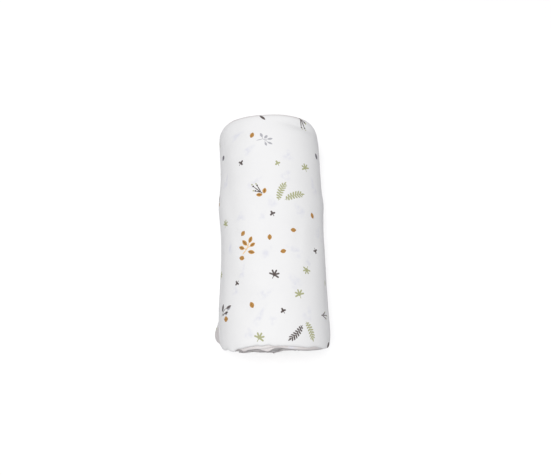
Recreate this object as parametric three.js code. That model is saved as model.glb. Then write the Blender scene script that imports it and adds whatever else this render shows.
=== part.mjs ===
// A swaddle blanket: one hemmed square of thin muslin, folded in half and then in thirds
// into a long strip, and rolled up. The roll lies on its side along Y, on a small flat spot.
// Millimetres, +Z up. The origin is on the surface it lies on, under the middle of the roll.
import * as THREE from 'three';

// The cloth and how it is folded.
const CLOTH_SIDE = 1200;
const LAYERS = 6;
const STRIP_WIDTH = CLOTH_SIDE / LAYERS;
const TURNS = 8.5;

// The roll, an oval a little wider than it is high.
const ROLL_WIDTH = 95;
const ROLL_HEIGHT = 84;
const OVAL_POWER = 2.12;       // 2 is an ellipse, and more has fuller shoulders
const CORE_FLATNESS = 0.18;    // how much flatter the first turns are than the last
const SKIN_POWER = 6;          // how quickly the unevenness of the outside dies away inwards
const FLAT_DROP = 3.2;         // how far the weight of the roll presses its underside in
const TAIL_ANGLE = 218;        // degrees from +X towards +Z: the strip ends low on the -X side
const CORNER_SHIFT = 1.97;     // the tail's corner swells out at -X, so the roll's middle is at +X

// The ends of the roll. The outer turn stands back at -Y, where the inner turns slide out.
const ASKEW = { near: 0.4, far: 1.6 }; // how far turns stray past the strip's width at each end
const NEAR_END = -(STRIP_WIDTH / 2 + ASKEW.near);
const FAR_END = STRIP_WIDTH / 2 + ASKEW.far;
const SLIDE = 3.4;             // how far the middle turns have slid in at +Y
const SLIDE_NEAR = 0.4;        // the share of that by which they come out at -Y
const INNER_BACK = { fold: 2.7, hems: 1.6, far: 3.2 }; // how far the inner turns' edges stand back
const INNER_FROM = [0.2, 1.3]; // turns in from the tail, over which the outer turn ends
const EDGE_WAVES = [           // unevenness of the edges: size, waves in a radian of turns, start
  { size: 0.9, waves: 2.9, start: 0 },
  { size: 0.7, waves: 7.3, start: 1 },
];
const GROOVE = 2.4;            // depth of the groove between two turns
const TAIL_THINS = [0.5, 0.12]; // share of the strip's thickness lost at its end, and a step before

// Fineness of the solid.
const STEPS_PER_TURN = 48;
const LEAST_AREA = 1e-6;       // square mm: a smaller triangle is left out
const ACROSS_STRIP = [0, 0.28, 0.72, 1];
const ALONG = [0, 0.02, 0.05, 0.09, 0.13, 0.17, 0.21, 0.26, 0.32, 0.38, 0.44, 0.5,
  0.56, 0.62, 0.68, 0.74, 0.79, 0.83, 0.87, 0.9, 0.925, 0.95, 0.975, 1];

// How far each side stands proud of the even oval, along the roll.
const SECTIONS = [
  { y: -101, left: -0.6, right: -0.8, top: -1.2 },
  { y: -88, left: 0.2, right: 0.4, top: 0.0 },
  { y: -60, left: -0.4, right: 0.6, top: 0.4 },
  { y: -30, left: -1.0, right: 0.3, top: -0.3 },
  { y: 0, left: -1.2, right: 0.5, top: 0.2 },
  { y: 28, left: 0.5, right: 1.6, top: 0.5 },
  { y: 52, left: -1.8, right: 0.2, top: -0.2 },
  { y: 78, left: -1.3, right: -0.3, top: 0.3 },
  { y: 101, left: -0.6, right: -1.6, top: -0.8 },
];

// How far the outer turn's edges stand back from the ends of the roll, around it. At -Y the
// strip's outer layers end in a fold and its inner layers in two hems, which peep out under it.
const EDGES = [
  { angle: 5, fold: 5.0, hems: 4.0, far: 3.0 },
  { angle: 18, fold: 3.4, hems: 2.0, far: 2.2 },
  { angle: 45, fold: 2.8, hems: 1.0, far: 0.9 },
  { angle: 70, fold: 4.5, hems: 0.9, far: 0.4 },
  { angle: 85, fold: 5.5, hems: 0.4, far: 0.0 },
  { angle: 96, fold: 5.7, hems: -0.7, far: 0.0 },
  { angle: 110, fold: 5.1, hems: 0.3, far: 0.2 },
  { angle: 127, fold: 3.6, hems: -0.4, far: 0.0 },
  { angle: 140, fold: 1.4, hems: 1.6, far: 0.6 },
  { angle: 152, fold: 1.4, hems: 2.4, far: 1.4 },
  { angle: 166, fold: 5.2, hems: 5.6, far: 1.4 },
  { angle: 190, fold: 9.6, hems: 9.0, far: 1.2 },
  { angle: 222, fold: 6.0, hems: 4.6, far: 2.6 },
  { angle: 290, fold: 3.0, hems: 2.0, far: 2.0 },
];

// Soft troughs (and, with a depth below zero, ridges) of the outer turns. Each is a line on the
// unrolled surface: its middle, the direction it runs in (0 is around the roll, 90 is along it),
// its half length, its half width and its depth.
const CREASES = [
  { angle: 50, y: 93, runs: 2, long: 22, wide: 3.4, deep: 2.8 },
  { angle: 50, y: 99, runs: 0, long: 20, wide: 2.8, deep: -0.8 },
  { angle: 168, y: -85, runs: 88, long: 12, wide: 2.6, deep: 1.6 },
  { angle: 194, y: -84, runs: 84, long: 12, wide: 9.0, deep: -6.9 },
  { angle: 120, y: -60, runs: 62, long: 34, wide: 9.0, deep: 0.8 },
  { angle: 48, y: -25, runs: 105, long: 42, wide: 8.0, deep: 0.8 },
  { angle: 142, y: 40, runs: 75, long: 36, wide: 8.0, deep: 0.9 },
  { angle: 15, y: 20, runs: 80, long: 30, wide: 7.0, deep: 0.7 },
];

const { clamp, degToRad, lerp } = THREE.MathUtils;

// The outline is a spiral, so its +X, upper and lower sides are part of a turn inside its tail.
// The half sizes are those of the tail, and make the whole roll the width and height above.
const shareAt = (angle) => 1 - (TAIL_ANGLE - angle) / 360 / TURNS;
const HALF_WIDTH = ROLL_WIDTH / (shareAt(0) + shareAt(180));
const HALF_HEIGHT = (ROLL_HEIGHT + FLAT_DROP) / (shareAt(90) + shareAt(-90));
const MIDDLE_X = HALF_WIDTH * (shareAt(180) - shareAt(0)) / 2 + CORNER_SHIFT;
const MIDDLE_Z = HALF_HEIGHT * shareAt(-90) - FLAT_DROP;
const MEAN_RADIUS = (ROLL_WIDTH + ROLL_HEIGHT) / 4;
const STRIP_THICKNESS = (HALF_WIDTH + HALF_HEIGHT) / 2 / TURNS;

// A smooth curve through one column of a table, against the column that places its rows.
function curveThrough(rows, placed, name) {
  const places = rows.map((row) => row[placed]);
  const curve = new THREE.CubicInterpolant(places, rows.map((row) => row[name]), 1);
  return (place) => curve.evaluate(clamp(place, places[0], places.at(-1)))[0];
}

// The same around the roll, where the curve closes on itself after 360 degrees.
function curveAround(rows, name) {
  const threeTurns = [-360, 0, 360].flatMap((shift) =>
    rows.map((row) => ({ angle: row.angle + shift, [name]: row[name] })));
  const curve = curveThrough(threeTurns, 'angle', name);
  return (angle) => curve(THREE.MathUtils.euclideanModulo(angle, 360));
}

const leftStand = curveThrough(SECTIONS, 'y', 'left');
const rightStand = curveThrough(SECTIONS, 'y', 'right');
const topStand = curveThrough(SECTIONS, 'y', 'top');
const outerBack = {
  fold: curveAround(EDGES, 'fold'),
  hems: curveAround(EDGES, 'hems'),
  far: curveAround(EDGES, 'far'),
};

// How deep all the creases press the surface in, at an angle and a place along the roll.
function creaseDepth(angle, y) {
  let depth = 0;
  for (const crease of CREASES) {
    const offAngle = THREE.MathUtils.euclideanModulo(angle - crease.angle + 180, 360) - 180;
    const around = degToRad(offAngle) * MEAN_RADIUS;
    const along = y - crease.y;
    const lean = degToRad(crease.runs);
    const lengthwise = around * Math.cos(lean) + along * Math.sin(lean);
    const sideways = along * Math.cos(lean) - around * Math.sin(lean);
    depth += crease.deep
      * Math.exp(-((lengthwise / crease.long) ** 2) - ((sideways / crease.wide) ** 2));
  }
  return depth;
}

// A sine or cosine drawn towards the corners of the oval.
const fuller = (value) => Math.sign(value) * Math.abs(value) ** (2 / OVAL_POWER);

// A point of the line that the strip's outer face follows: so many turns from the middle of
// the roll, at a place along it. Before the first turn it is the middle itself.
function woundPoint(turn, y) {
  if (turn <= 0) return new THREE.Vector3(MIDDLE_X, y, MIDDLE_Z);
  const angle = TAIL_ANGLE - 360 * (TURNS - turn);
  const share = turn / TURNS;
  const cosine = Math.cos(degToRad(angle));
  const sine = Math.sin(degToRad(angle));
  const outside = share ** SKIN_POWER;
  const stand = outside * (leftStand(y) * Math.max(0, -cosine) ** 2
    + rightStand(y) * Math.max(0, cosine) ** 2
    + topStand(y) * Math.max(0, sine) ** 2
    - creaseDepth(angle, y));
  const flatness = 1 - CORE_FLATNESS * (1 - share);
  const stepsToTail = Math.round((TURNS - turn) * STEPS_PER_TURN);
  const out = stand - (TAIL_THINS[stepsToTail] ?? 0) * STRIP_THICKNESS;
  const x = MIDDLE_X + share * HALF_WIDTH * fuller(cosine) + out * cosine;
  const z = MIDDLE_Z + share * flatness * HALF_HEIGHT * fuller(sine) + out * sine;
  const turnsOutside = Math.floor(TURNS - turn);
  const turnAbove = turnsOutside * (ROLL_HEIGHT / 2 / TURNS);
  return new THREE.Vector3(x, y, Math.max(z, turnAbove));
}

// How far along the roll one edge of the strip reaches, so many turns from the middle. The outer
// turn follows the table, and the inner turns are slid towards -Y, unevenly. In the very middle
// the layers lie flush.
function edgeReach(turn, edge) {
  const angle = TAIL_ANGLE - 360 * (TURNS - turn);
  const inner = THREE.MathUtils.smoothstep(TURNS - turn, ...INNER_FROM);
  const uneven = EDGE_WAVES.reduce(
    (sum, wave) => sum + wave.size * Math.sin(turn * wave.waves + wave.start), 0);
  const slid = SLIDE * (1 - (turn / TURNS) ** 2);
  const [end, inwards, shift] = edge === 'far'
    ? [FAR_END, -1, slid - uneven]
    : [NEAR_END, 1, uneven - slid * SLIDE_NEAR];
  const innerBack = lerp(INNER_BACK.fold, INNER_BACK[edge], clamp(turn, 0, 1)) + shift;
  return end + inwards * lerp(outerBack[edge](angle), innerBack, inner);
}

// The bottom of the groove outside a turn, between its outer layers and the next turn's hems.
function grooveReach(turn, end) {
  const [outerEdge, innerEdge, inward] = end === 'near'
    ? ['fold', 'hems', GROOVE]
    : ['far', 'far', -GROOVE];
  const own = edgeReach(turn, outerEdge);
  const last = turn > TURNS - 1;
  return inward + (last ? own : (own + edgeReach(turn + 1, innerEdge)) / 2);
}

// A point on an end of the roll: after so many turns, a share of the way across the strip.
function endPoint(turn, across, end) {
  const inside = turn - 1;
  if (across === 1) return woundPoint(turn, grooveReach(turn, end));
  if (across === 0) return woundPoint(inside, grooveReach(Math.max(inside, 0), end));
  const innerHalf = across < 0.5;
  const nearEdge = innerHalf ? 'hems' : 'fold';
  const reach = edgeReach(turn, end === 'near' ? nearEdge : 'far');
  return woundPoint(inside, reach).lerp(woundPoint(turn, reach), across);
}

// A point on the outer turn or its tail, a share of the way from the near to the far end.
function wallPoint(turn, across, share) {
  const near = endPoint(turn, across, 'near');
  const far = endPoint(turn, across, 'far');
  if (share === 0) return near;
  if (share === 1) return far;
  const y = lerp(near.y, far.y, share);
  const inner = woundPoint(turn - 1, y);
  return across === 1 ? woundPoint(turn, y) : inner.lerp(woundPoint(turn, y), across);
}

// The closed skin of the roll: both spiral ends, the outer turn and the face of the tail.
function rollGeometry() {
  const corners = [];
  const lastStep = TURNS * STEPS_PER_TURN;

  // Two triangles for four points in a ring, each point where its own formula puts it.
  function addQuad(a, b, c, d) {
    for (const [p, q, r] of [[a, b, c], [a, c, d]]) {
      const area = q.clone().sub(p).cross(r.clone().sub(p)).length();
      if (area > LEAST_AREA) corners.push(p, q, r);
    }
  }

  for (let step = 0; step < lastStep; step += 1) {
    const turns = [step / STEPS_PER_TURN, (step + 1) / STEPS_PER_TURN];
    for (let row = 0; row + 1 < ACROSS_STRIP.length; row += 1) {
      const ring = (end) => [
        endPoint(turns[0], ACROSS_STRIP[row], end),
        endPoint(turns[0], ACROSS_STRIP[row + 1], end),
        endPoint(turns[1], ACROSS_STRIP[row + 1], end),
        endPoint(turns[1], ACROSS_STRIP[row], end),
      ];
      addQuad(...ring('near'));
      addQuad(...ring('far').reverse());
    }
  }

  // The columns of the wall go once around the outer turn, and then in across the tail.
  const columns = [];
  for (let step = lastStep - STEPS_PER_TURN; step <= lastStep; step += 1) {
    columns.push([step / STEPS_PER_TURN, 1]);
  }
  for (const across of ACROSS_STRIP.slice(0, -1).reverse()) columns.push([TURNS, across]);
  for (let side = 0; side + 1 < columns.length; side += 1) {
    for (let row = 0; row + 1 < ALONG.length; row += 1) {
      addQuad(
        wallPoint(...columns[side], ALONG[row]),
        wallPoint(...columns[side], ALONG[row + 1]),
        wallPoint(...columns[side + 1], ALONG[row + 1]),
        wallPoint(...columns[side + 1], ALONG[row]),
      );
    }
  }
  return new THREE.BufferGeometry().setFromPoints(corners);
}

const muslin = new THREE.MeshStandardMaterial({ color: 0xf3f3f4, roughness: 0.95, metalness: 0 });
const roll = new THREE.Mesh(rollGeometry(), muslin);
roll.name = 'rolled_muslin_cloth';

const blanket = new THREE.Group();
blanket.add(roll);
export default blanket;
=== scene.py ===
import math

import bpy
import numpy as np
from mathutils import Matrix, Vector


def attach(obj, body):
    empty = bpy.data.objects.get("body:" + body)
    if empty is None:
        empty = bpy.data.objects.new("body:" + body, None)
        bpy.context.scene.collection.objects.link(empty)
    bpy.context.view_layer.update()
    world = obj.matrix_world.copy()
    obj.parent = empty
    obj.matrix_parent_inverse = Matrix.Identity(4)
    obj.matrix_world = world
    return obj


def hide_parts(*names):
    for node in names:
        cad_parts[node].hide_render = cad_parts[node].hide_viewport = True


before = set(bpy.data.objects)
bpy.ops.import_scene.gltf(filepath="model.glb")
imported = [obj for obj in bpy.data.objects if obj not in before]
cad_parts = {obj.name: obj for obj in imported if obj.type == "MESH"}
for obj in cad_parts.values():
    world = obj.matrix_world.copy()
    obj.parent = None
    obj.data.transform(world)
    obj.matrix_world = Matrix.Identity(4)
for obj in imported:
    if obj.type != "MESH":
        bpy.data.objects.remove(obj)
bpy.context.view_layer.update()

METRE = 0.001

# --- The cloth and the roll, as the solid has them -------------------------------------------
CLOTH_SIDE = 1200.0
LAYERS = 6
STRIP_WIDTH = CLOTH_SIDE / LAYERS
TURNS = 8.5
ROLL_WIDTH = 95.0
ROLL_HEIGHT = 84.0
OVAL_POWER = 2.12         # 2 is an ellipse, and more has fuller shoulders
CORE_FLATNESS = 0.18      # how much flatter the first turns are than the last
SKIN_POWER = 6            # how quickly the unevenness of the outside dies away inwards
FLAT_DROP = 3.2           # how far the weight of the roll presses its underside in
FLAT_SOFTNESS = 1.5       # over this height the underside bends into its flat spot
PRESSED = 0.96            # how closely the undersides of the inner turns lie on each other
TAIL_ANGLE = 218.0        # degrees from +X towards +Z: the strip ends low on the -X side
TAIL_THINNED = 0.42       # how much thinner the strip is at its end, as a share of a turn
TAIL_PINCH = 0.05         # turns over which it thins
CORNER_SHIFT = 1.97       # the tail's corner swells out at -X, so the roll's middle is at +X
TOP_BACK = 105.2          # from the tail's edge back to the top of the roll, along the cloth
LEAST_TURN = 0.22         # the line that the strip follows starts this far from the middle
NEAR_END, FAR_END = -100.4, 102.6

SECTIONS = (  # y, and how far the -X side, the +X side and the top stand proud of the oval
    (-101, -0.6, -0.8, -1.2),
    (-88, 0.2, 0.2, 0.0),
    (-60, 0.3, -0.6, 0.4),
    (-42, -0.8, -0.8, 0.0),
    (-14, -2.0, -0.7, -0.1),
    (6, -1.6, -0.5, 0.2),
    (18, -0.6, 0.3, 0.4),
    (29, 0.3, 1.6, 0.5),
    (40, -0.5, -0.1, 0.2),
    (52, -1.6, -0.7, -0.2),
    (78, -1.3, -0.9, 0.3),
    (101, 0.3, -1.4, -0.8),
)
EDGES = (  # angle, and how far the outer turn's fold, two hems and far edge stand back
    (5, 4.0, 3.6, 4.2, 3.2),
    (18, 1.9, 1.3, 2.0, 2.6),
    (31, 1.6, 0.5, 1.4, 1.6),
    (41, 2.8, 0.3, 1.3, 0.9),
    (48, 3.6, 0.3, 1.4, 0.5),
    (56, 2.9, 0.2, 1.2, 0.4),
    (68, 3.9, 0.9, 1.4, 0.3),
    (81, 4.7, 2.3, 2.6, 0.3),
    (87, 4.9, 2.9, 3.5, 0.4),
    (93, 5.0, 2.4, 3.9, 0.5),
    (98, 6.0, 0.4, 3.4, 0.5),
    (103, 5.2, 1.0, 2.9, 0.4),
    (109, 5.7, 2.6, 2.9, 0.4),
    (115, 5.0, 2.6, 2.8, 0.3),
    (121, 4.5, 2.2, 2.4, 0.2),
    (126, 3.8, 1.1, 1.4, 0.1),
    (131, 3.6, 2.8, 3.1, 0.0),
    (135, 2.9, 4.0, 4.3, 0.0),
    (139, 1.6, 4.4, 4.7, 0.1),
    (144, 1.9, 4.6, 4.9, 0.4),
    (150, 3.3, 4.6, 4.9, 0.7),
    (155, 3.0, 4.6, 5.0, 0.9),
    (160, 3.0, 4.8, 5.2, 1.1),
    (167, 4.2, 5.6, 6.0, 1.4),
    (190, 9.6, 9.0, 9.4, 1.8),
    (222, 6.0, 4.6, 5.4, 3.2),
    (290, 3.0, 2.0, 2.6, 2.6),
)
FOLD_COLUMN, HEM_0_COLUMN, HEM_1_COLUMN, FAR_COLUMN = 1, 2, 3, 4
CREASES = (  # angle, y, direction (0 around, 90 along the roll), half length, half width, depth
    (50, 93, 2, 22, 3.4, 2.8),
    (50, 99, 0, 20, 2.8, -0.8),
    (168, -85, 88, 12, 2.6, 1.6),
    (194, -84, 84, 12, 9.0, -6.9),
    (120, -60, 62, 34, 9.0, 0.8),
    (48, -25, 105, 42, 8.0, 0.8),
    (142, 40, 75, 36, 8.0, 0.9),
    (15, 20, 80, 30, 7.0, 0.7),
)
FINE_CREASES = (  # the same columns, for creases of the outermost layers alone
    (169, -83, 88, 10, 1.6, -1.3),
    (174, -84, 88, 11, 1.2, 2.2),
    (56, 94.3, 2, 17, 2.6, 0.9),
    (126, 89.5, 23, 12, 2.2, 0.8),
    (84, 88, 14, 16, 3.0, 0.35),
    (118, 84, -24, 20, 3.5, 0.35),
    (150, 72, -48, 18, 3.0, 0.45),
    (96, 30, 82, 34, 5.0, 0.25),
    (66, -10, 96, 26, 4.0, 0.25),
    (128, -8, 72, 28, 4.0, 0.30),
    (76, -70, 112, 20, 4.0, 0.30),
    (112, -88, 20, 16, 3.0, 0.35),
    (40, -82, -30, 14, 3.0, 0.35),
    (160, -30, 84, 30, 3.6, 0.40),
    (22, -50, 98, 28, 3.6, 0.35),
    (345, 10, 92, 50, 5.0, 0.50),
    (190, 30, 86, 45, 4.5, 0.50),
)

RIM_NEAR = (1.7, 2.8)     # how much the outer turn rounds off at each end, and over what length
RIM_FAR = (2.4, 3.4)
FINE_FROM, FINE_TO = 1.0, 0.9   # turns from the tail, over which the fine creases and rims start

# How far the edges of the inner turns stand back from the ends of the roll.
INNER_FROM = (0.2, 1.3)   # turns from the tail, over which the inner turns begin
FOLD_BACK = 4.0
HEM_0_BACK, HEM_1_BACK = 2.6, 3.2
FAR_BACK = 3.2
SLIDE = 3.4               # how far the middle turns have slid in at the far end
SLIDE_NEAR = 0.4          # the share of that by which they come out at the near end
HEMS_BACK = 1.8           # the inner hems stand further back on the +X side
HEMS_FROM, HEMS_TO = -0.04, 0.12
HEM_1_FOLLOWS = 0.6
EDGE_WAVES = (            # unevenness of all the edges of a turn: size, waves, start
    (0.9, 2.9, 0),
    (0.7, 7.3, 1),
)
RIPPLE = (                # unevenness of single edges
    (1, 19.0, 0),
    (0.6, 41.0, 2),
)
SECOND_RIPPLE = (
    (1, 23.0, 1),
    (0.6, 53.0, 0),
)
HEM_RIPPLE = 0.5
NEAR_SMALL = (3.4, 0.5)   # how much further in the smaller folds lie, and how unevenly
FAR_BIG = (1.4, 0.6)
FAR_SMALL = (5.0, 0.7)

# --- How finely the sheet is meshed -----------------------------------------------------------
FIRST_TURN = 0.6          # the strip starts this many turns from the middle
INNER_STEPS = 44          # columns a turn, inside
OUTER_PARTS = (           # columns of the outer turn: from this angle, this many
    (-142, 60),
    (20, 112),
    (158, 40),
    (186, 16),
)
END_ROWS = (0, 1.2, 3, 5.5, 8.2, 12, 20, 32)   # rows of a hidden layer, from each of its ends
OUTER_END_ROWS = (0, 0.6, 1.3, 2.2, 3.4, 5, 7, 9.2)
OUTER_ROWS = (0.06, 0.94, 46)   # between shares of the strip's width, this many rows
UNDER_ROWS = (0.22, 0.78, 11)   # the layer under the outermost follows its dips
BIG_FOLD_STEPS, SMALL_FOLD_STEPS = 6, 4

# How the layers of a turn lie.
HEM = 6.0                 # width of the turned hem
HEM_ROUND = 0.003         # where the hem bends, as a share of the strip's width
HEM_LIFT = 0.045          # how far the turned part lies from its layer, as a share of a turn
TAIL_HEM = (0.05, 0.5, 1.0)     # columns of the tail's hem, as shares of its width
LAYER_GAP = 0.155         # from one layer to the next, as a share of a turn
FOLD_DEPTH = 0.9          # how far a fold bulges, as a share of half its height
STRAIGHT_SHORT = {        # how far short of its fold or hem a layer is straight, near and far
    0: (0, 1.5), 1: (0, 0.5), 2: (1.5, 0.5), 3: (0.5, 1.5), 4: (0.5, 0.5), 5: (1.5, 0.5),
}
LAYER_WAVE = 0.30         # unevenness of the layers, as a share of the gap between them
WAVE_PHASE, WAVE_RATE = 1.25, 17.0
CALM_MIDDLE = 0.35        # the share of that unevenness away from the ends of the roll
END_LENGTH = 14           # over this length from the ends the layers lie looser
CALM_LAYERS = (4.2, 5.0)  # the outermost layer of the outer turn lies smooth
CALM_TURNS = (1.05, 0.9)
PINCHED_GAP = 0.35        # how much closer the layers lie at the tail
STAGGER = 0.0035          # how unevenly the layers end at the tail, in turns
STAGGER_RATE, STAGGER_START = 2.2, 0.6
STAGGER_TURNS = 0.3


def share_at(angle):
    """How far out the last turn is at an angle, as a share of how far out its tail is."""
    return 1 - (TAIL_ANGLE - angle) / 360 / TURNS


HALF_WIDTH = ROLL_WIDTH / (share_at(0) + share_at(180))
HALF_HEIGHT = (ROLL_HEIGHT + FLAT_DROP) / (share_at(90) + share_at(-90))
MIDDLE_X = HALF_WIDTH * (share_at(180) - share_at(0)) / 2 + CORNER_SHIFT
MIDDLE_Z = HALF_HEIGHT * share_at(-90) - FLAT_DROP
MEAN_RADIUS = (ROLL_WIDTH + ROLL_HEIGHT) / 4
TURN_THICKNESS = (HALF_WIDTH + HALF_HEIGHT) / 2 / TURNS


def smooth_step(value, low, high):
    """0 up to low, 1 from high on, and a smooth rise between them."""
    t = np.clip((value - low) / (high - low), 0, 1)
    return t * t * (3 - 2 * t)


def curve_through(places, values, at):
    """A smooth curve through a column of a table. Its slopes come from the rows beside each."""
    places, values = np.asarray(places, float), np.asarray(values, float)
    slopes = np.gradient(values, places)
    at = np.clip(at, places[0], places[-1])
    i = np.clip(np.searchsorted(places, at) - 1, 0, len(places) - 2)
    step = places[i + 1] - places[i]
    t = (at - places[i]) / step
    return ((1 + 2 * t) * (1 - t) ** 2 * values[i] + t * (1 - t) ** 2 * step * slopes[i]
            + t * t * (3 - 2 * t) * values[i + 1] + t * t * (t - 1) * step * slopes[i + 1])


def curve_around(table, column, angle):
    """The same around the roll, where the curve closes on itself."""
    angles = [row[0] + turn for turn in (-360, 0, 360) for row in table]
    values = [row[column] for _ in range(3) for row in table]
    return curve_through(angles, values, np.mod(angle, 360))


def crease_depth(creases, angle, y):
    """How deep all the creases of a table press the surface in, at an angle and a y."""
    depth = 0
    for middle, at, runs, half_length, half_width, deep in creases:
        around = np.radians(np.mod(angle - middle + 180, 360) - 180) * MEAN_RADIUS
        along = y - at
        lean = math.radians(runs)
        lengthwise = around * math.cos(lean) + along * math.sin(lean)
        sideways = along * math.cos(lean) - around * math.sin(lean)
        fade = np.exp(-(lengthwise / half_length) ** 2 - (sideways / half_width) ** 2)
        depth = depth + deep * fade
    return depth


def fuller(value):
    """A sine or cosine drawn towards the corners of the oval."""
    return np.sign(value) * np.abs(value) ** (2 / OVAL_POWER)


def rim_drop(angle, y):
    """How much the outer turn rounds off towards its two ends."""
    from_near = y - NEAR_END - curve_around(EDGES, FOLD_COLUMN, angle)
    from_far = FAR_END - curve_around(EDGES, FAR_COLUMN, angle) - y
    return sum(drop * np.exp(-np.maximum(inside, 0) / length)
               for inside, (drop, length) in ((from_near, RIM_NEAR), (from_far, RIM_FAR)))


def laid_down(z, turn):
    """Heights kept above the surface the roll lies on, or above the turns under a turn."""
    floor = (TURNS - turn) * ROLL_HEIGHT / 2 / TURNS * PRESSED
    floor = np.maximum(floor - ROLL_HEIGHT / 2 / TURNS, 0)
    bend = floor + FLAT_SOFTNESS
    below = (np.minimum(z, bend) - floor - FLAT_SOFTNESS) / FLAT_SOFTNESS
    return np.where(z < bend, floor + FLAT_SOFTNESS * np.exp(below), z)


def wound_line(turn, y, thinned=0.0):
    """x and z of the line the strip's outer face follows, so many turns from the middle."""
    turn = np.maximum(turn, LEAST_TURN)
    angle = TAIL_ANGLE - 360 * (TURNS - turn)
    share = turn / TURNS
    cosine = np.cos(np.radians(angle))
    sine = np.sin(np.radians(angle))
    places, *sides = zip(*SECTIONS)
    left, right, top = (curve_through(places, stands, y) for stands in sides)
    stand = share ** SKIN_POWER * (left * np.maximum(0, -cosine) ** 2
                                   + right * np.maximum(0, cosine) ** 2
                                   + top * np.maximum(0, sine) ** 2
                                   - crease_depth(CREASES, angle, y))
    fine = smooth_step(turn, TURNS - FINE_FROM, TURNS - FINE_TO)
    stand = stand - fine * (crease_depth(FINE_CREASES, angle, y) + rim_drop(angle, y))
    stand = stand - thinned * TURN_THICKNESS
    flatness = 1 - CORE_FLATNESS * (1 - share)
    x = MIDDLE_X + share * HALF_WIDTH * fuller(cosine) + stand * cosine
    z = MIDDLE_Z + share * flatness * HALF_HEIGHT * fuller(sine) + stand * sine
    return x, laid_down(z, turn)


# --- The strip's section: rows across the folded cloth ----------------------------------------
# Each row has its layer (0 innermost, 5 outermost), its place between the ends, how far it bulges
# past the edge of its layer in a fold, and which fold or hem of each end its layer reaches to.
NEAR_OF = {0: "hem_0", 1: "hem_1", 2: "near_big", 3: "near_small", 4: "near_small", 5: "near_big"}
FAR_OF = {0: "far_big", 1: "far_small", 2: "far_small", 3: "far_big", 4: "far_half", 5: "far_half"}
PATH = ((0, "far"), (3, "near"), (4, "far"), (5, "near"), (2, "far"), (1, "near"))
MIDDLE_STRIP = 3.5        # the outermost layer's middle, in widths of the strip from the first hem
NEAR_FOLD = STRIP_WIDTH * 4    # the near fold of the outermost layer, in mm from the first hem
NEAR_MIDDLE = 0.02        # share of the strip's width
SAME_TURN = 1e-9


def section_rows():
    """Rows across the folded cloth, from one hem to the opposite one: the layer, the share of the
    way to the far end, how far the row bulges past its layer's edge, and how far it is turned."""
    spread = np.array(END_ROWS) / STRIP_WIDTH
    at_ends = np.array(OUTER_END_ROWS) / STRIP_WIDTH
    shown = np.concatenate([at_ends, np.linspace(*OUTER_ROWS), 1 - at_ends[::-1]])
    under = np.concatenate([spread, np.linspace(*UNDER_ROWS), 1 - spread[::-1]])
    hidden = np.concatenate([spread, [0.5], 1 - spread[::-1]])
    hem_share = HEM / STRIP_WIDTH
    rows = [(0, share, 0, 1) for share in (hem_share, hem_share / 2, HEM_ROUND)]
    rows.append((0, 0, 0, 0.5))
    for number, (layer, towards) in enumerate(PATH):
        places = {LAYERS - 1: shown, LAYERS - 2: under}.get(layer, hidden)
        places = places if towards == "far" else 1 - places
        first = 1 if number == 0 else 0
        rows += [(layer, place, 0, 0) for place in places[first:]]
        if number + 1 < len(PATH):
            following = PATH[number + 1][0]
            reach = abs(following - layer) / 2
            steps = BIG_FOLD_STEPS if reach > 1 else SMALL_FOLD_STEPS
            side = 1 if towards == "far" else -1
            for step in range(1, steps):
                bend = math.pi * step / steps
                across = (layer + following) / 2 + (layer - following) / 2 * math.cos(bend)
                place = 1.0 if towards == "far" else 0.0
                rows.append((across, place, side * reach * math.sin(bend), 0))
    rows.append((1, 0, 0, 0.5))
    rows += [(1, share, 0, 1) for share in (HEM_ROUND, hem_share / 2, hem_share)]
    return np.array(rows)


def waves(table, turn):
    """A sum of sines along the strip, from a table of their sizes, waves and starts."""
    return sum(size * np.sin(turn * rate + start) for size, rate, start in table)


def edge_places(turn):
    """y of each fold and hem at the two ends, along the strip."""
    angle = TAIL_ANGLE - 360 * (TURNS - turn)
    inner = smooth_step(TURNS - turn, *INNER_FROM)
    uneven = waves(EDGE_WAVES, turn)
    slid = SLIDE * (1 - (turn / TURNS) ** 2)
    ripple = waves(RIPPLE, turn)
    second = waves(SECOND_RIPPLE, turn)
    sideways = turn / TURNS * np.cos(np.radians(angle))
    hems_back = HEMS_BACK * smooth_step(sideways, HEMS_FROM, HEMS_TO)

    def near(column, back):
        outer = curve_around(EDGES, column, angle)
        return NEAR_END + outer + inner * (back + uneven - slid * SLIDE_NEAR - outer)

    outer_far = curve_around(EDGES, FAR_COLUMN, angle)
    far = FAR_END - outer_far - inner * (FAR_BACK - uneven + slid - outer_far)
    hem_1_back = HEM_1_BACK + HEM_RIPPLE * ripple + HEM_1_FOLLOWS * hems_back
    return {
        "near_big": near(FOLD_COLUMN, FOLD_BACK),
        "near_small": near(FOLD_COLUMN, FOLD_BACK) + NEAR_SMALL[0] + NEAR_SMALL[1] * second,
        "hem_0": near(HEM_0_COLUMN, HEM_0_BACK + HEM_RIPPLE * second + hems_back),
        "hem_1": near(HEM_1_COLUMN, hem_1_back),
        "far_half": far,
        "far_big": far - FAR_BIG[0] - FAR_BIG[1] * ripple,
        "far_small": far - FAR_SMALL[0] - FAR_SMALL[1] * second,
    }


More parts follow.
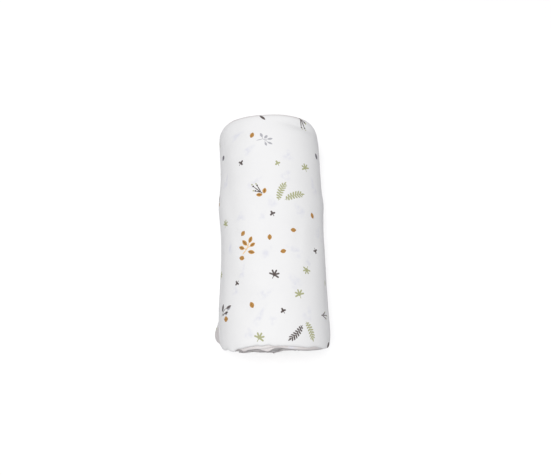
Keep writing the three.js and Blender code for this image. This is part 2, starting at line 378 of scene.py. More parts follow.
def strip_turns():
    """The turns at which the columns of the sheet lie, and how far each is turned as a hem."""
    inner_columns = int((TURNS - 1 - FIRST_TURN) * INNER_STEPS)
    turns = [np.linspace(FIRST_TURN, TURNS - 1, inner_columns, endpoint=False)]
    starts = [start for start, _ in OUTER_PARTS]
    for (start, steps), stop in zip(OUTER_PARTS, starts[1:] + [TAIL_ANGLE]):
        part = np.linspace(start, stop, steps, endpoint=False)
        turns.append(TURNS - (TAIL_ANGLE - part) / 360)
    hem_turn = HEM / (2 * math.pi * MEAN_RADIUS)
    turns = np.concatenate(turns + [[TURNS], [TURNS - hem_turn * part for part in TAIL_HEM]])
    turned = np.zeros(len(turns))
    turned[-len(TAIL_HEM):] = 1
    turned[-len(TAIL_HEM) - 1] = 0.5
    return turns, turned


def row_places(layer, place, bulge, turns):
    """y of each row and column. A fold's rows go on from the layer before them."""
    own = np.maximum.accumulate(np.where(bulge == 0, np.arange(len(layer)), 0))
    whole = np.round(layer[own]).astype(int)
    edges = edge_places(turns)
    near = np.stack([edges[NEAR_OF[number]] for number in whole])
    far = np.stack([edges[FAR_OF[number]] for number in whole])
    depth = TURN_THICKNESS * LAYER_GAP * FOLD_DEPTH
    short_near, short_far = np.array([STRAIGHT_SHORT[number] for number in whole]).T * depth
    start, stop = near + short_near[:, None], far - short_far[:, None]
    return start + place[:, None] * (stop - start) + bulge[:, None] * depth


def across_turn(layer, turned, tail_turned, turn, y):
    """Where each point lies in the thickness of its turn, looser at the ends of the roll."""
    layer = layer[:, None]
    at_end = np.exp(-np.minimum(y - NEAR_END, FAR_END - y) / END_LENGTH)
    loose = CALM_MIDDLE + (1 - CALM_MIDDLE) * at_end
    wave = LAYER_WAVE * np.sin(WAVE_PHASE * layer + turn * WAVE_RATE) * loose
    calm_from, calm_to = CALM_TURNS
    outer_turn = smooth_step(turn, TURNS - calm_from, TURNS - calm_to)
    wave = wave * (1 - smooth_step(layer, *CALM_LAYERS) * outer_turn)
    pinch = smooth_step(turn, TURNS - TAIL_PINCH, TURNS)
    gap = LAYER_GAP * (1 - PINCHED_GAP * pinch)
    across = 1 - gap * (LAYERS - 1 - layer + wave)
    return across - HEM_LIFT * (turned[:, None] + tail_turned[None, :]), pinch


def flat_places(points, layer, place, turns):
    """Where each point lies on the flat cloth, measured both ways from the top of the roll and
    from the middle of the outermost layer. The strip ends at the tail."""
    outermost = layer == LAYERS - 1
    middle = int(np.argmax(outermost & (np.abs(place - 0.5) < NEAR_MIDDLE)))
    wound = turns[:-len(TAIL_HEM) - 1]
    top = int(np.argmin(np.abs(wound - TURNS + (TAIL_ANGLE - 90) / 360)))
    steps = np.linalg.norm(np.diff(points, axis=1, prepend=points[:, :1]), axis=2)
    along_strip = np.cumsum(steps, axis=1)
    past_top = math.radians(TAIL_ANGLE - 90) - (TURNS - turns[top]) * 2 * math.pi
    top_place = CLOTH_SIDE - TOP_BACK + past_top * MEAN_RADIUS
    along_strip += top_place - along_strip[:, top][:, None]
    steps = np.linalg.norm(np.diff(points, axis=0, prepend=points[:1]), axis=2)
    across_cloth = np.cumsum(steps, axis=0)
    across_cloth += STRIP_WIDTH * MIDDLE_STRIP - points[middle, :, 1] - across_cloth[middle]
    return np.stack([along_strip, across_cloth], axis=-1)


def cloth_grid():
    """Points of the whole sheet, in rows across it and columns along it, their places on the flat
    cloth, and which faces are the outer layer of the outer turn."""
    layer, place, bulge, turned = section_rows().T
    turns, tail_turned = strip_turns()
    y = row_places(layer, place, bulge, turns)
    uneven = 1 + np.sin(layer * STAGGER_RATE + STAGGER_START)
    stagger = STAGGER * uneven[:, None] * smooth_step(turns, TURNS - STAGGER_TURNS, TURNS)
    turn = turns[None, :] - stagger
    across, pinch = across_turn(layer, turned, tail_turned, turn, y)
    inner_x, inner_z = wound_line(turn - 1, y)
    outer_x, outer_z = wound_line(turn, y, TAIL_THINNED * pinch)
    x = inner_x + (outer_x - inner_x) * across
    z = inner_z + (outer_z - inner_z) * across
    points = np.stack([x, y, z], axis=-1)
    outer_turn = turns[None, :-1] >= TURNS - 1 - SAME_TURN
    on_outside = (layer[:-1, None] == LAYERS - 1) & outer_turn
    return points, flat_places(points, layer, place, turns), on_outside


def add_mesh(name, points, faces, uv_maps):
    mesh = bpy.data.meshes.new(name)
    mesh.from_pydata([tuple(point) for point in points * METRE], [], faces)
    for uv_name, values in uv_maps.items():
        uv_layer = mesh.uv_layers.new(name=uv_name)
        uv_layer.data.foreach_set("uv", np.asarray(values, np.float32).ravel())
    mesh.polygons.foreach_set("use_smooth", [True] * len(mesh.polygons))
    obj = bpy.data.objects.new(name, mesh)
    bpy.context.scene.collection.objects.link(obj)
    return obj


# --- The printed leaves -----------------------------------------------------------------------
# Each motif is placed on the flat cloth, in millimetres: from the tail's edge back along the
# strip, and from the near end along the roll. The print repeats as a half drop.
REPEAT_BACK = 118.0
REPEAT_ALONG = 265.0
KINDS = {  # half width and half length of the room each kind of motif takes
    "leaf": (2.9, 3.5),
    "slim": (1.6, 3.6),
    "star": (4.6, 4.6),
    "trefoil": (3.0, 3.0),
    "three": (8.2, 5.1),
    "fern": (3.6, 8.6),
    "branch": (7.9, 8.8),
    "sprig": (5.2, 7.4),
    "berries": (6.0, 11.0),
}
TONES = ("ochre", "green", "dark", "pale", "grey")
MOTIFS = (  # kind, tone, back, along, turned clockwise, size
    ("slim", "dark", 98.9, 198.6, 136, 1.1),
    ("berries", "dark", 133, 202, 137, 1.1),
    ("leaf", "ochre", 89.3, 182.2, 22, 0.86),
    ("sprig", "pale", 100, 177, 90, 1.0),
    ("leaf", "grey", 52, 172, 50, 0.85),
    ("leaf", "grey", 155, 170, 131, 1.0),
    ("trefoil", "dark", 78.4, 158.7, 42, 1.05),
    ("trefoil", "green", 110.6, 155.2, -28, 1.0),
    ("star", "green", 136.8, 153.6, -19, 0.95),
    ("berries", "ochre", 96.5, 129, -50, 1.0),
    ("fern", "green", 113.3, 129.8, 23, 0.98),
    ("fern", "green", 124.4, 126, 70, 1.05),
    ("leaf", "ochre", 43.6, 130.4, 5, 0.68),
    ("trefoil", "dark", 105, 110.8, -28, 1.0),
    ("leaf", "ochre", 142.3, 111.5, -24, 0.85),
    ("star", "green", 57.2, 108.2, 20, 0.92),
    ("leaf", "ochre", 122.2, 96.8, 90, 0.8),
    ("leaf", "ochre", 79.1, 95.9, 40, 0.82),
    ("leaf", "ochre", 102.2, 90.8, 2, 0.78),
    ("branch", "ochre", 84, 85, 28, 1.05),
    ("leaf", "ochre", 77.7, 75.4, 100, 0.86),
    ("leaf", "ochre", 112.9, 78.9, 78, 0.79),
    ("trefoil", "dark", 144.6, 81.3, 160, 1.0),
    ("star", "green", 133.2, 64.4, 203, 0.88),
    ("star", "dark", 105, 59.8, 28, 0.97),
    ("star", "green", 44, 66, 80, 0.8),
    ("trefoil", "dark", 72.2, 55.3, 225, 0.92),
    ("slim", "green", 160.5, 56, 5, 0.9),
    ("star", "green", 125.2, 44, -20, 0.95),
    ("leaf", "ochre", 86, 36.6, -24, 0.85),
    ("three", "dark", 58, 35, 0, 1.0),
    ("trefoil", "dark", 111, 31.2, -28, 0.94),
    ("berries", "dark", 148.2, 28, 86, 0.95),
    ("leaf", "ochre", 58.4, 27.3, 90, 1.02),
    ("fern", "dark", 120.9, 13.9, 226, 0.92),
    ("fern", "green", 133.2, 15.2, 157, 0.92),
    ("star", "green", 91.5, 11, 31, 0.97),
    ("leaf", "dark", 159.3, 3.4, 25, 1.2),
    ("star", "green", 60, 216, 110, 0.85),
    ("leaf", "ochre", 78, 223, 60, 0.84),
    ("fern", "green", 97, 219, -52, 0.95),
    ("trefoil", "dark", 118, 216, 140, 0.95),
    ("berries", "ochre", 138, 222, 70, 0.95),
    ("branch", "ochre", 63, 240, -110, 0.95),
    ("star", "dark", 92, 245, 170, 0.88),
    ("leaf", "ochre", 108, 236, -70, 0.84),
    ("three", "dark", 122, 236, 20, 0.8),
    ("trefoil", "green", 147, 246, 20, 0.95),
)
SMUDGES = (  # back, along, turned clockwise, half width, half length
    (74, 185, 70, 3.5, 9),
    (86, 169, 60, 4, 7),
    (120, 162, 10, 6, 6),
    (118, 144, 30, 5, 6),
    (90, 138, 50, 4, 9),
    (105, 120, -20, 5, 6),
    (97, 110, 20, 3, 7),
    (129, 114, -40, 5, 8),
    (77, 110, 0, 5, 5),
    (99, 78, 40, 4, 7),
    (123, 79, -60, 5, 9),
    (135, 71, 20, 4, 5),
    (122, 54, -35, 6, 8),
    (78, 64, 15, 3, 7),
    (70, 49, 0, 4, 5),
    (97, 45, 65, 4, 8),
    (92, 27, 32, 3.4, 10),
    (103, 24, 70, 4, 4),
    (83, 14, 0, 5, 5),
    (132, 28, 20, 5, 7),
    (58, 146, 20, 4, 8),
    (146, 138, -15, 4, 9),
    (64, 85, 10, 4, 6),
    (150, 98, 30, 4, 7),
    (62, 230, 30, 5, 8),
    (104, 228, -25, 4, 8),
    (84, 235, 80, 4, 7),
    (130, 231, 10, 5, 6),
    (78, 207, 45, 4, 7),
    (112, 252, 60, 5, 8),
    (146, 208, -30, 4, 8),
)


def nearest_motifs(back, along, places, rooms, turns):
    """For each face, which motif it may show, by the room each takes, and where that lies."""
    best = np.full(len(back), np.inf)
    chosen = np.zeros(len(back), int)
    centre = np.zeros((len(back), 2))
    for number, ((at_back, at_along), (half_width, half_length), turned) in enumerate(
            zip(places, rooms, turns)):
        drop = np.round((back - at_back) / REPEAT_BACK)
        off_back = back - at_back - drop * REPEAT_BACK
        off_along = along - at_along - drop * REPEAT_ALONG / 2
        repeats = np.round(off_along / REPEAT_ALONG)
        off_along = off_along - repeats * REPEAT_ALONG
        lean = math.radians(turned)
        x = off_back * math.cos(lean) - off_along * math.sin(lean)
        y = off_back * math.sin(lean) + off_along * math.cos(lean)
        apart = np.hypot(x / half_width, y / half_length)
        closer = apart < best
        best[closer], chosen[closer] = apart[closer], number
        centre[closer, 0] = (back - off_back)[closer]
        centre[closer, 1] = (along - off_along)[closer]
    return chosen, centre


def local_places(corners, chosen, centre, turns, sizes):
    """Each corner's place in its face's own motif, turned and scaled with it."""
    lean = np.radians(np.array(turns))[chosen][:, None]
    size = np.array(sizes)[chosen][:, None]
    off = corners - centre[:, None, :]
    x = (off[..., 0] * np.cos(lean) - off[..., 1] * np.sin(lean)) / size
    y = (off[..., 0] * np.sin(lean) + off[..., 1] * np.cos(lean)) / size
    return np.stack([x, y], axis=-1)


def print_maps(flat_corners):
    """UV maps that carry the print: a face's place in its motif, the motif's kind and tone, and
    its place in the nearest smudge, where the print of a layer beneath shows through."""
    back = CLOTH_SIDE - flat_corners[..., 0]
    along = NEAR_FOLD - flat_corners[..., 1]
    corners = np.stack([back, along], axis=-1)
    middle = corners.mean(axis=1)
    kinds, tones, at_back, at_along, turns, sizes = zip(*MOTIFS)
    rooms = [(KINDS[kind][0] * size, KINDS[kind][1] * size) for kind, size in zip(kinds, sizes)]
    chosen, centre = nearest_motifs(*middle.T, list(zip(at_back, at_along)), rooms, turns)
    motif = local_places(corners, chosen, centre, turns, sizes)
    codes = np.array([(list(KINDS).index(kind), TONES.index(tone))
                      for kind, tone in zip(kinds, tones)])
    kind_and_tone = np.repeat(codes[chosen][:, None, :], corners.shape[1], axis=1).astype(float)

    at_back, at_along, turns, half_widths, half_lengths = zip(*SMUDGES)
    rooms = list(zip(half_widths, half_lengths))
    chosen, centre = nearest_motifs(*middle.T, list(zip(at_back, at_along)), rooms, turns)
    smudge = local_places(corners, chosen, centre, turns, np.ones(len(turns)))
    smudge /= np.array(rooms)[chosen][:, None, :]
    return {"Motif": motif, "Kind": kind_and_tone, "Smudge": smudge}


def fitted(values, low, high):
    """Places moved and stretched to fill the rectangle between two corners."""
    least, most = values.min(axis=(0, 1)), values.max(axis=(0, 1))
    return low + (np.array(high) - low) * (values - least) / (most - least)


BAKED_OUTSIDE = ((0.01, 0.01), (0.99, 0.79))    # two corners of its part of the map for baking
BAKED_REST = ((0.01, 0.81), (0.99, 0.99))


def bake_map(flat_corners, on_outside):
    """The map for baking. The outer layer of the outer turn has most of it."""
    places = np.empty_like(flat_corners)
    places[on_outside] = fitted(flat_corners[on_outside], *BAKED_OUTSIDE)
    places[~on_outside] = fitted(flat_corners[~on_outside], *BAKED_REST)
    return places


def build_cloth():
    points, flat, on_outside = cloth_grid()
    rows, columns = points.shape[:2]
    index = np.arange(rows * columns).reshape(rows, columns)
    around_face = [index[:-1, :-1], index[:-1, 1:], index[1:, 1:], index[1:, :-1]]
    quads = np.stack(around_face, axis=-1).reshape(-1, 4)
    flat_corners = flat.reshape(-1, 2)[quads]
    maps = {"Cloth": flat_corners, **print_maps(flat_corners),
            "OFBake": bake_map(flat_corners, on_outside.ravel())}
    return add_mesh("swaddle_cloth", points.reshape(-1, 3), quads.tolist(), maps)


# --- The muslin's material --------------------------------------------------------------------
CODE_STEP = 0.4     # two codes closer than this are the same


class Value:
    """A number over the cloth: a socket of a node tree, with arithmetic that adds its nodes."""

    def __init__(self, tree, socket):
        self.tree, self.socket = tree, socket

    def math(self, operation, *others, clamped=False):
        node = self.tree.nodes.new("ShaderNodeMath")
        node.operation = operation
        node.use_clamp = clamped
        for number, value in enumerate((self, *others)):
            if isinstance(value, Value):
                self.tree.links.new(value.socket, node.inputs[number])
            else:
                node.inputs[number].default_value = value
        return Value(self.tree, node.outputs[0])

    def __add__(self, other):
        return self.math("ADD", other)

    def __sub__(self, other):
        return self.math("SUBTRACT", other)

    def __mul__(self, other):
        return self.math("MULTIPLY", other)

    def __truediv__(self, other):
        return self.math("DIVIDE", other)

    def __neg__(self):
        return self * -1.0

    def __abs__(self):
        return self.math("ABSOLUTE")

    def sine(self):
        return self.math("SINE")

    def cosine(self):
        return self.math("COSINE")

    def root(self):
        return self.math("SQRT")

    def squared(self):
        return self.math("MULTIPLY", self)

    def least(self, other):
        return self.math("MINIMUM", other)

    def most(self, other):
        return self.math("MAXIMUM", other)

    def clamped(self, times=None):
        """Kept between 0 and 1, after a multiplication if there is one."""
        if times is None:
            return self.math("ADD", 0.0, clamped=True)
        return self.math("MULTIPLY", times, clamped=True)

    def is_code(self, code):
        return self.math("COMPARE", float(code), CODE_STEP)

    def remainder(self, period):
        return self.math("FLOORED_MODULO", period)


def uv_values(tree, name):
    """The two coordinates of a UV map."""
    node = tree.nodes.new("ShaderNodeUVMap")
    node.uv_map = name
    split = tree.nodes.new("ShaderNodeSeparateXYZ")
    tree.links.new(node.outputs["UV"], split.inputs["Vector"])
    return Value(tree, split.outputs["X"]), Value(tree, split.outputs["Y"])


PRINT_EDGE = 0.2    # mm over which a printed edge fades into the cloth
BLADE_POWER = 2.3   # 2 makes a leaf of two arcs, and more a fuller one


def printed(outside):
    """1 inside a shape and 0 outside it, from how far outside a point is, in mm."""
    return (outside / -PRINT_EDGE).math("ADD", 0.5, clamped=True)


def placed(x, y, at_x, at_y, turned):
    """x and y measured from a point, across and along a direction turned clockwise from +Y."""
    lean = math.radians(turned)
    dx, dy = x - at_x, y - at_y
    return dx * math.cos(lean) - dy * math.sin(lean), dx * math.sin(lean) + dy * math.cos(lean)


def any_of(shapes):
    together = shapes[0]
    for shape in shapes[1:]:
        together = together.most(shape)
    return together


def blade(x, y, half_width, half_length):
    """A leaf shape, pointed at both ends and widest in the middle."""
    share = abs(y / half_length).math("POWER", BLADE_POWER)
    return printed(abs(x) - (share * -half_width + half_width))


def blades(x, y, table):
    """Leaf shapes from a table of their places, directions and half sizes."""
    return any_of([blade(*placed(x, y, *row[:3]), *row[3:]) for row in table])


def stem(x, y, low, high, half_width):
    """A straight stem along y, from low to high."""
    return printed((abs(x) - half_width).most((y - high).most(-y + low)))


def distance(x, y):
    return (x.squared() + y.squared()).root()


def dot(x, y, at_x, at_y, radius):
    return printed(distance(x - at_x, y - at_y) - radius)


LOBE_STEM = 0.3     # half width


def lobes(x, y, apart, pairs, length, half_width, middle, stem_length):
    """Rounded lobes that spread from one point, one ahead and some pairs, over a short stem."""
    angle = abs(x.math("ARCTAN2", y))
    step = math.radians(apart)
    number = (angle / step).math("ROUND").least(float(pairs))
    turned = angle - number * step
    radius = distance(x, y)
    past = (radius * turned.cosine() - (length - half_width)).most(0.0)
    across = radius * turned.sine()
    lobe = printed(distance(past, across) - half_width)
    lobe = lobe.most(printed(radius - middle))
    return lobe.most(stem(x, y, -stem_length, 0.0, LOBE_STEM))


FERN_HALF_LENGTH = 7.6
FERN_BOW = 0.9
FERN_PITCH = 2.0
FERN_STAGGER = 0.2        # how far the two sides are set off, as a share of the pitch
FERN_SLANT = 0.28         # how far forward the leaflets slant at the fern's middle,
FERN_SLANT_RISE = 0.07    # and how much further a millimetre on
FERN_REACH = 2.85         # how far the leaflets reach at the fern's middle,
FERN_REACH_RISE = 0.05    # and how much further a millimetre on
LEAFLET_HALF_WIDTH = 0.7
LEAFLET_NARROWS = 0.32    # how much narrower a leaflet is at its tip
FERN_TIP = (0.6, 0.62, 1.6)     # the leaflet at the tip: how far past, half width, half length
FERN_STEM = 0.22          # half width
FERN_STALK = 1.2          # how far the stem goes on below the leaflets


def fern(x, y):
    """A bowed stem with rounded leaflets in pairs, and one leaflet at its tip."""
    share = (y / FERN_HALF_LENGTH).squared()
    x = x - share * FERN_BOW + FERN_BOW
    side = abs(x)
    reach = share.squared() * -1.0 + y * FERN_REACH_RISE + FERN_REACH
    forward = side * (y * FERN_SLANT_RISE + FERN_SLANT)
    along = y - forward + x.math("SIGN") * (FERN_PITCH * FERN_STAGGER)
    off = abs(along.remainder(FERN_PITCH) - FERN_PITCH / 2)
    narrow = (side / reach).squared().squared() * -LEAFLET_NARROWS + LEAFLET_HALF_WIDTH
    leaflets = printed((off - narrow).most(side - reach).most(abs(y) - FERN_HALF_LENGTH))
    past, half_width, half_length = FERN_TIP
    tip = blade(x, y - FERN_HALF_LENGTH - past, half_width, half_length)
    low = -FERN_HALF_LENGTH - FERN_STALK
    return leaflets.most(tip).most(stem(x, y, low, FERN_HALF_LENGTH, FERN_STEM))


# Leaves of the sprigs: their middle, the way they point, half width and half length.
BRANCH_LEAVES = (
    (-0.5, 4.9, -4, 1.6, 2.8),
    (-4.1, 0.8, -71, 1.65, 3.2),
    (2.9, 2.0, 34, 1.45, 2.5),
    (-4.9, -3.8, -96, 1.55, 2.9),
    (4.6, -3.6, 76, 1.55, 3.0),
)
BRANCH_TWIGS = (
    (-1.1, -6.1, 22, 0.45, 2.6),
    (-0.2, -2.7, 7, 0.5, 2.2),
    (-0.4, 0.4, -15, 0.45, 2.3),
    (-1.4, -3.4, -97, 0.4, 1.4),
    (1.1, -0.6, 46, 0.4, 1.5),
    (-1.1, -0.3, -76, 0.35, 0.9),
)
THREE_LEAVES = (
    (-5.4, 1.8, 27, 1.5, 3.6),
    (4.3, 1.7, 74, 1.05, 3.8),
    (1.0, -2.6, 80, 0.95, 2.9),
    (-3.4, -3.6, 65, 0.6, 2.4),
    (-6.2, -3.4, 46, 0.35, 2.6),
    (-3.8, -1.1, 49, 0.4, 1.8),
    (-1.3, 0.2, 66, 0.35, 2.0),
)
THREE_SHADES = (          # the paler half of each leaf
    (-4.0, 1.2, 24, 0.8, 2.4),
    (4.7, 0.3, 66, 0.9, 2.8),
    (0.8, -3.9, 66, 0.8, 2.2),
)
SPRIG_LEAVES = (
    (-4.2, -2.4, -115, 1.1, 2.2),
    (-2.3, 1.5, -48, 1.2, 2.0),
    (-0.3, 4.9, -6, 0.95, 2.4),
    (3.6, 4.8, 26, 0.85, 2.4),
    (4.2, 1.2, 68, 0.9, 1.9),
    (-0.1, -4.0, -9, 0.32, 3.2),
    (-0.1, -0.2, 19, 0.28, 1.6),
    (-1.6, -1.6, -99, 0.24, 1.3),
    (0.1, 1.9, -13, 0.24, 1.5),
    (1.6, 0.6, 90, 0.24, 1.5),
    (1.6, 2.0, 45, 0.22, 1.8),
)
BERRY_STEMS = (
    (0.1, 4.7, 2, 0.4, 5.2),
    (1.5, 3.9, 22, 0.4, 4.2),
    (-0.8, 2.7, -24, 0.38, 3.2),
)
BERRIES = (               # a berry, and the bud beyond it
    (0.3, 9.4, 0.9, 11.2),
    (2.9, 7.2, 3.4, 8.8),
    (-1.8, 5.3, -2.6, 6.8),
)
BERRY_RADIUS = 0.75
BUD_RADIUS = 0.72
JOIN = (0.0, -0.3, 0.5)   # where the stems join: its place and radius
BERRY_LEAVES = (
    (-2.5, 0.5, -37, 1.6, 2.7),
    (2.9, -0.8, 64, 1.7, 2.6),
)


def berries(x, y):
    """The stems and berries of a berry sprig."""
    shape = blades(x, y, BERRY_STEMS).most(dot(x, y, *JOIN))
    for at_x, at_y, _, _ in BERRIES:
        shape = shape.most(dot(x, y, at_x, at_y, BERRY_RADIUS))
    return shape


def buds(x, y):
    return any_of([dot(x, y, at_x, at_y, BUD_RADIUS) for _, _, at_x, at_y in BERRIES])


MIDDLE_VEIN = 0.22        # half width
VEIN_RISE, VEIN_SLANT = 4.2, 3.6    # how closely the side veins lie, along and across the leaf
VEIN_GAPS = 0.5           # more leaves the veins thinner
VEIN_EDGE = 2.5
LEAF_VEINS = 0.75         # how dark they are


def leaf_veins(x, y):
    """Darker veins of a single leaf: one along its middle and slanting ones from it."""
    middle = printed(abs(x) - MIDDLE_VEIN)
    slanting = (y * VEIN_RISE - abs(x) * VEIN_SLANT).sine() - VEIN_GAPS
    return middle.most(slanting.clamped(VEIN_EDGE)) * LEAF_VEINS


def middle_veins(x, y, leaves, width_share, length_share):
    """One vein along the middle of each leaf of a table."""
    return blades(x, y, [(*row[:3], row[3] * width_share, row[4] * length_share)
                         for row in leaves])


MIX_BASE, MIX_OVER, MIX_RESULT = 6, 7, 2    # sockets of a Mix node that mixes colours


def mixed(tree, base, color, share):
    """base with some of color over it. Both are colours or sockets."""
    node = tree.nodes.new("ShaderNodeMix")
    node.data_type = "RGBA"
    tree.links.new(share.socket, node.inputs["Factor"])
    for value, socket in ((base, node.inputs[MIX_BASE]), (color, node.inputs[MIX_OVER])):
        if isinstance(value, tuple):
            socket.default_value = (*value, 1)
        else:
            tree.links.new(value, socket)
    return node.outputs[MIX_RESULT]


def noise(tree, scale, detail, vector_name):
    """Soft noise over the flat cloth, from 0 to 1."""
    coordinates = tree.nodes.new("ShaderNodeUVMap")
    coordinates.uv_map = vector_name
    node = tree.nodes.new("ShaderNodeTexNoise")
    node.inputs["Scale"].default_value = scale
    node.inputs["Detail"].default_value = detail
    tree.links.new(coordinates.outputs["UV"], node.inputs["Vector"])
    return Value(tree, node.outputs["Fac"])


CLOTH_WHITE = (0.775, 0.775, 0.776)
CLOTH_GREY = tuple(part * 0.955 for part in CLOTH_WHITE)    # in soft clouds over the white
INNER_WARMTH_AND_SHADE = (0.62, 0.587, 0.583)      # the inner layers are a little warmer, and darker as painted shade between the layers
CLOUDS = (0.035, 3)                     # scale and detail of each noise
MOTTLES = (0.5, 4)
BLOTCHES = (0.24, 2)
CLOUDS_FROM, CLOUDS_RISE, CLOUDS_SHARE = 0.42, 2.6, 0.6
OUTSIDE_MARGIN, OUTSIDE_RISE = 2.0, 0.5     # mm past the outermost layer that are still white
TURN_RISE = 0.1                         # how fast the white begins at the start of the last turn
CORNER_BACK = 39.3                      # the near corner of the tail has painted shade from this far back
CORNER_ALONG = 27.0
CORNER_LEAN = 0.35
CORNER_RISE = 2.0
SMUDGE_TINT = (0.655, 0.66, 0.72)
SMUDGE_LOBES = 3.0
LOBE_DEPTH, LOBE_REACH = 0.22, 1.3
BLOTCHES_FROM, BLOTCHES_RISE = 0.34, 3.5
SMUDGE_SHARE = 0.75
TONE_COLORS = {
    "ochre": (0.50, 0.245, 0.040),
    "green": (0.375, 0.385, 0.205),
    "dark": (0.078, 0.058, 0.053),
    "pale": (0.39, 0.39, 0.42),
    "grey": (0.15, 0.14, 0.165),
}
VEIN_COLOR = (0.18, 0.085, 0.03)
TWIG_COLOR = (0.78, 0.47, 0.17)
WEAR_FROM, WEAR_RISE = 0.2, 2.4          # the ink is a little worn in the mottles
WEAR_DEPTH, WORN_INK = 0.10, 0.88
BRANCH_VEINS = (0.32, 0.85, 0.75)       # share of the leaf's width and length, and how dark
BERRY_VEINS = (0.3, 0.8, 0.8)
TWIG_SHARE = 0.85
BUD_SHARE = 0.9
LEAF_SIZE = (2.2, 3.15)                 # half width and half length
SLIM_SIZE = (1.05, 3.3)
STAR = (49, 2, 4.5, 0.72, 1.4, 3.6)     # degrees apart, pairs, length, half width, middle, stem
TREFOIL = (105, 1, 2.5, 0.8, 0.9, 2.7)
THREAD = 0.62                           # mm from one thread of the weave to the next
WEAVE_HEIGHT, SLUB_HEIGHT = 0.3, 2.0
BUMP_STRENGTH, BUMP_DISTANCE = 0.5, 0.00012
ROUGHNESS, ROUGHNESS_RANGE = 0.84, 0.12
SPECULAR = 0.12
SHEEN, SHEEN_ROUGHNESS = 0.03, 0.6


def plain_cloth(tree, q, p):
    """The cloth: white outside, and inside warmer and darker with painted shade, which the near
    corner of the tail also gets, with the print beneath showing faintly.
    """
    cloudy = noise(tree, *CLOUDS, "Cloth")
    blotchy = noise(tree, *BLOTCHES, "Cloth")
    smudge_x, smudge_y = uv_values(tree, "Smudge")
    outside = -abs(p - STRIP_WIDTH * MIDDLE_STRIP) + STRIP_WIDTH / 2 + OUTSIDE_MARGIN
    last_turn = q - (CLOTH_SIDE - 2 * math.pi * MEAN_RADIUS)
    # Painted shade: the near corner of the tail takes the darker inner colour.
    under_line = q - (CLOTH_SIDE - CORNER_BACK)
    short_of_corner = p - (NEAR_FOLD - CORNER_ALONG) - under_line * CORNER_LEAN
    painted_corner_shade = under_line.clamped(CORNER_RISE) * short_of_corner.clamped()
    outside = outside.clamped(OUTSIDE_RISE) * last_turn.clamped(TURN_RISE)
    outside = outside * (-painted_corner_shade + 1.0)
    # The inner layers take a warmer colour, darkened as painted shade.
    color = mixed(tree, INNER_WARMTH_AND_SHADE, CLOTH_WHITE, outside)
    clouds = (cloudy - CLOUDS_FROM).clamped(CLOUDS_RISE) * CLOUDS_SHARE
    color = mixed(tree, color, CLOTH_GREY, clouds)
    spread = distance(smudge_x, smudge_y)
    lobed = (smudge_x.math("ARCTAN2", smudge_y) * SMUDGE_LOBES).cosine() * LOBE_DEPTH + LOBE_REACH
    blotches = (blotchy - BLOTCHES_FROM).clamped(BLOTCHES_RISE)
    smudge = (lobed - spread * LOBE_REACH).clamped() * blotches
    return mixed(tree, color, SMUDGE_TINT, smudge * SMUDGE_SHARE)


def printed_cloth(tree, color, mottled):
    """The colour of the plain cloth with the print over it."""
    x, y = uv_values(tree, "Motif")
    kind, tone = uv_values(tree, "Kind")
    kinds = {name: kind.is_code(number) for number, name in enumerate(KINDS)}
    tones = {name: tone.is_code(number) for number, name in enumerate(TONES)}
    in_leaf = kinds["leaf"] * blade(x, y, *LEAF_SIZE)
    berry_leaves = kinds["berries"] * tones["ochre"] * blades(x, y, BERRY_LEAVES)
    ink = any_of([
        in_leaf,
        kinds["slim"] * blade(x, y, *SLIM_SIZE),
        kinds["star"] * lobes(x, y, *STAR),
        kinds["trefoil"] * lobes(x, y, *TREFOIL),
        kinds["three"] * blades(x, y, THREE_LEAVES),
        kinds["fern"] * fern(x, y),
        kinds["branch"] * blades(x, y, BRANCH_LEAVES),
        kinds["sprig"] * blades(x, y, SPRIG_LEAVES),
        berry_leaves,
    ])
    wear = (mottled - WEAR_FROM).clamped(WEAR_RISE) * WEAR_DEPTH + WORN_INK
    shades = kinds["three"] * blades(x, y, THREE_SHADES)
    color = mixed(tree, color, TONE_COLORS["pale"], shades * wear)
    for name in TONES:
        color = mixed(tree, color, TONE_COLORS[name], ink * tones[name] * wear)
    *sizes, darkness = BRANCH_VEINS
    branch_veins = kinds["branch"] * middle_veins(x, y, BRANCH_LEAVES, *sizes) * darkness
    *sizes, darkness = BERRY_VEINS
    berry_veins = berry_leaves * middle_veins(x, y, BERRY_LEAVES, *sizes) * darkness
    twigs = kinds["branch"] * blades(x, y, BRANCH_TWIGS) * TWIG_SHARE
    for over, share in (
            (VEIN_COLOR, in_leaf * leaf_veins(x, y) * tones["ochre"]),
            (VEIN_COLOR, branch_veins),
            (VEIN_COLOR, berry_veins),
            (TWIG_COLOR, twigs),
            (TONE_COLORS["dark"], kinds["berries"] * berries(x, y)),
            (TONE_COLORS["green"], kinds["berries"] * buds(x, y) * BUD_SHARE)):
        color = mixed(tree, color, over, share)
    return color


def weave_height(q, p, mottled):
    """Two sets of threads, with fine slubs."""
    threads = (q * (math.pi / THREAD)).sine().squared() + (p * (math.pi / THREAD)).sine().squared()
    return threads * WEAVE_HEIGHT + mottled * SLUB_HEIGHT


def muslin_material():
    material = bpy.data.materials.new("printed_muslin")
    material.use_nodes = True
    tree = material.node_tree
    shader = tree.nodes["Principled BSDF"]
    q, p = uv_values(tree, "Cloth")
    mottled = noise(tree, *MOTTLES, "Cloth")
    color = printed_cloth(tree, plain_cloth(tree, q, p), mottled)
    tree.links.new(color, shader.inputs["Base Color"])
    bump = tree.nodes.new("ShaderNodeBump")
    bump.inputs["Strength"].default_value = BUMP_STRENGTH
    bump.inputs["Distance"].default_value = BUMP_DISTANCE
    tree.links.new(weave_height(q, p, mottled).socket, bump.inputs["Height"])
    tree.links.new(bump.outputs["Normal"], shader.inputs["Normal"])
    roughness = mottled * ROUGHNESS_RANGE + ROUGHNESS
    tree.links.new(roughness.socket, shader.inputs["Roughness"])
    shader.inputs["Specular IOR Level"].default_value = SPECULAR
    shader.inputs["Sheen Weight"].default_value = SHEEN
    shader.inputs["Sheen Roughness"].default_value = SHEEN_ROUGHNESS
    return material


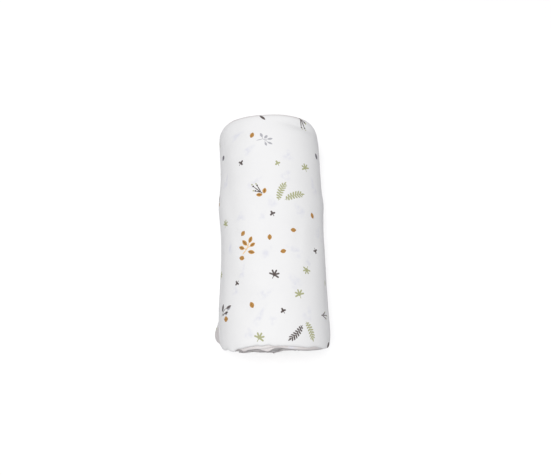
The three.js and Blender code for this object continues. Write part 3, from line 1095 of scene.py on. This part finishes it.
# --- The floor, the light and the camera, in metres --------------------------------------------
FLOOR_SIZE = 6
FLOOR_WHITE = (0.5, 0.5, 0.5)
FLOOR_ROUGHNESS = 0.9
FLOOR_GLOW = 0.48
SKY_COLOR = (0.84, 0.85, 1)
SKY_STRENGTH = 0.15
KEY_PLACE = (-0.15, -0.15, 2.4)
KEY_SIZE = 1.35
KEY_POWER = 63.0
KEY_COLOR = (1.0, 0.996, 0.982)
CAMERA_HEADING = 1.8      # degrees the view is turned from +Y towards +X
CAMERA_ELEVATION = 76
CAMERA_DISTANCE = 0.430
CAMERA_TARGET = (0.0054, 0.0006, 0.042)
CAMERA_LENS = 31.15
CLIP_START = 0.01


def build_stage():
    bpy.ops.mesh.primitive_plane_add(size=FLOOR_SIZE, location=(0, 0, 0))
    floor = bpy.context.object
    floor.name = "floor"
    material = bpy.data.materials.new("floor_white")
    material.use_nodes = True
    shader = material.node_tree.nodes["Principled BSDF"]
    shader.inputs["Base Color"].default_value = (*FLOOR_WHITE, 1)
    shader.inputs["Roughness"].default_value = FLOOR_ROUGHNESS
    shader.inputs["Emission Color"].default_value = (1, 1, 1, 1)
    shader.inputs["Emission Strength"].default_value = FLOOR_GLOW
    floor.data.materials.append(material)


def build_lights():
    world = bpy.data.worlds.new("studio")
    bpy.context.scene.world = world
    world.use_nodes = True
    sky = world.node_tree.nodes["Background"]
    sky.inputs["Color"].default_value = (*SKY_COLOR, 1)
    sky.inputs["Strength"].default_value = SKY_STRENGTH
    light = bpy.data.lights.new("key", "AREA")
    light.size = KEY_SIZE
    light.energy = KEY_POWER
    light.color = KEY_COLOR
    lamp = bpy.data.objects.new("key", light)
    lamp.location = KEY_PLACE
    lamp.rotation_euler = (-Vector(KEY_PLACE)).to_track_quat("-Z", "Y").to_euler()
    bpy.context.scene.collection.objects.link(lamp)


def build_camera():
    heading, elevation = math.radians(CAMERA_HEADING), math.radians(CAMERA_ELEVATION)
    direction = Vector((math.sin(heading) * math.cos(elevation),
                        math.cos(heading) * math.cos(elevation),
                        -math.sin(elevation)))
    camera = bpy.data.objects.new("camera", bpy.data.cameras.new("camera"))
    camera.location = Vector(CAMERA_TARGET) - direction * CAMERA_DISTANCE
    camera.rotation_euler = direction.to_track_quat("-Z", "Y").to_euler()
    camera.data.lens = CAMERA_LENS
    camera.data.clip_start = CLIP_START
    bpy.context.scene.collection.objects.link(camera)
    bpy.context.scene.camera = camera


bpy.context.scene.view_settings.view_transform = "Standard"
build_camera()
build_lights()
build_stage()
cloth = build_cloth()
cloth.data.materials.append(muslin_material())
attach(cloth, "root")
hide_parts("rolled_muslin_cloth")
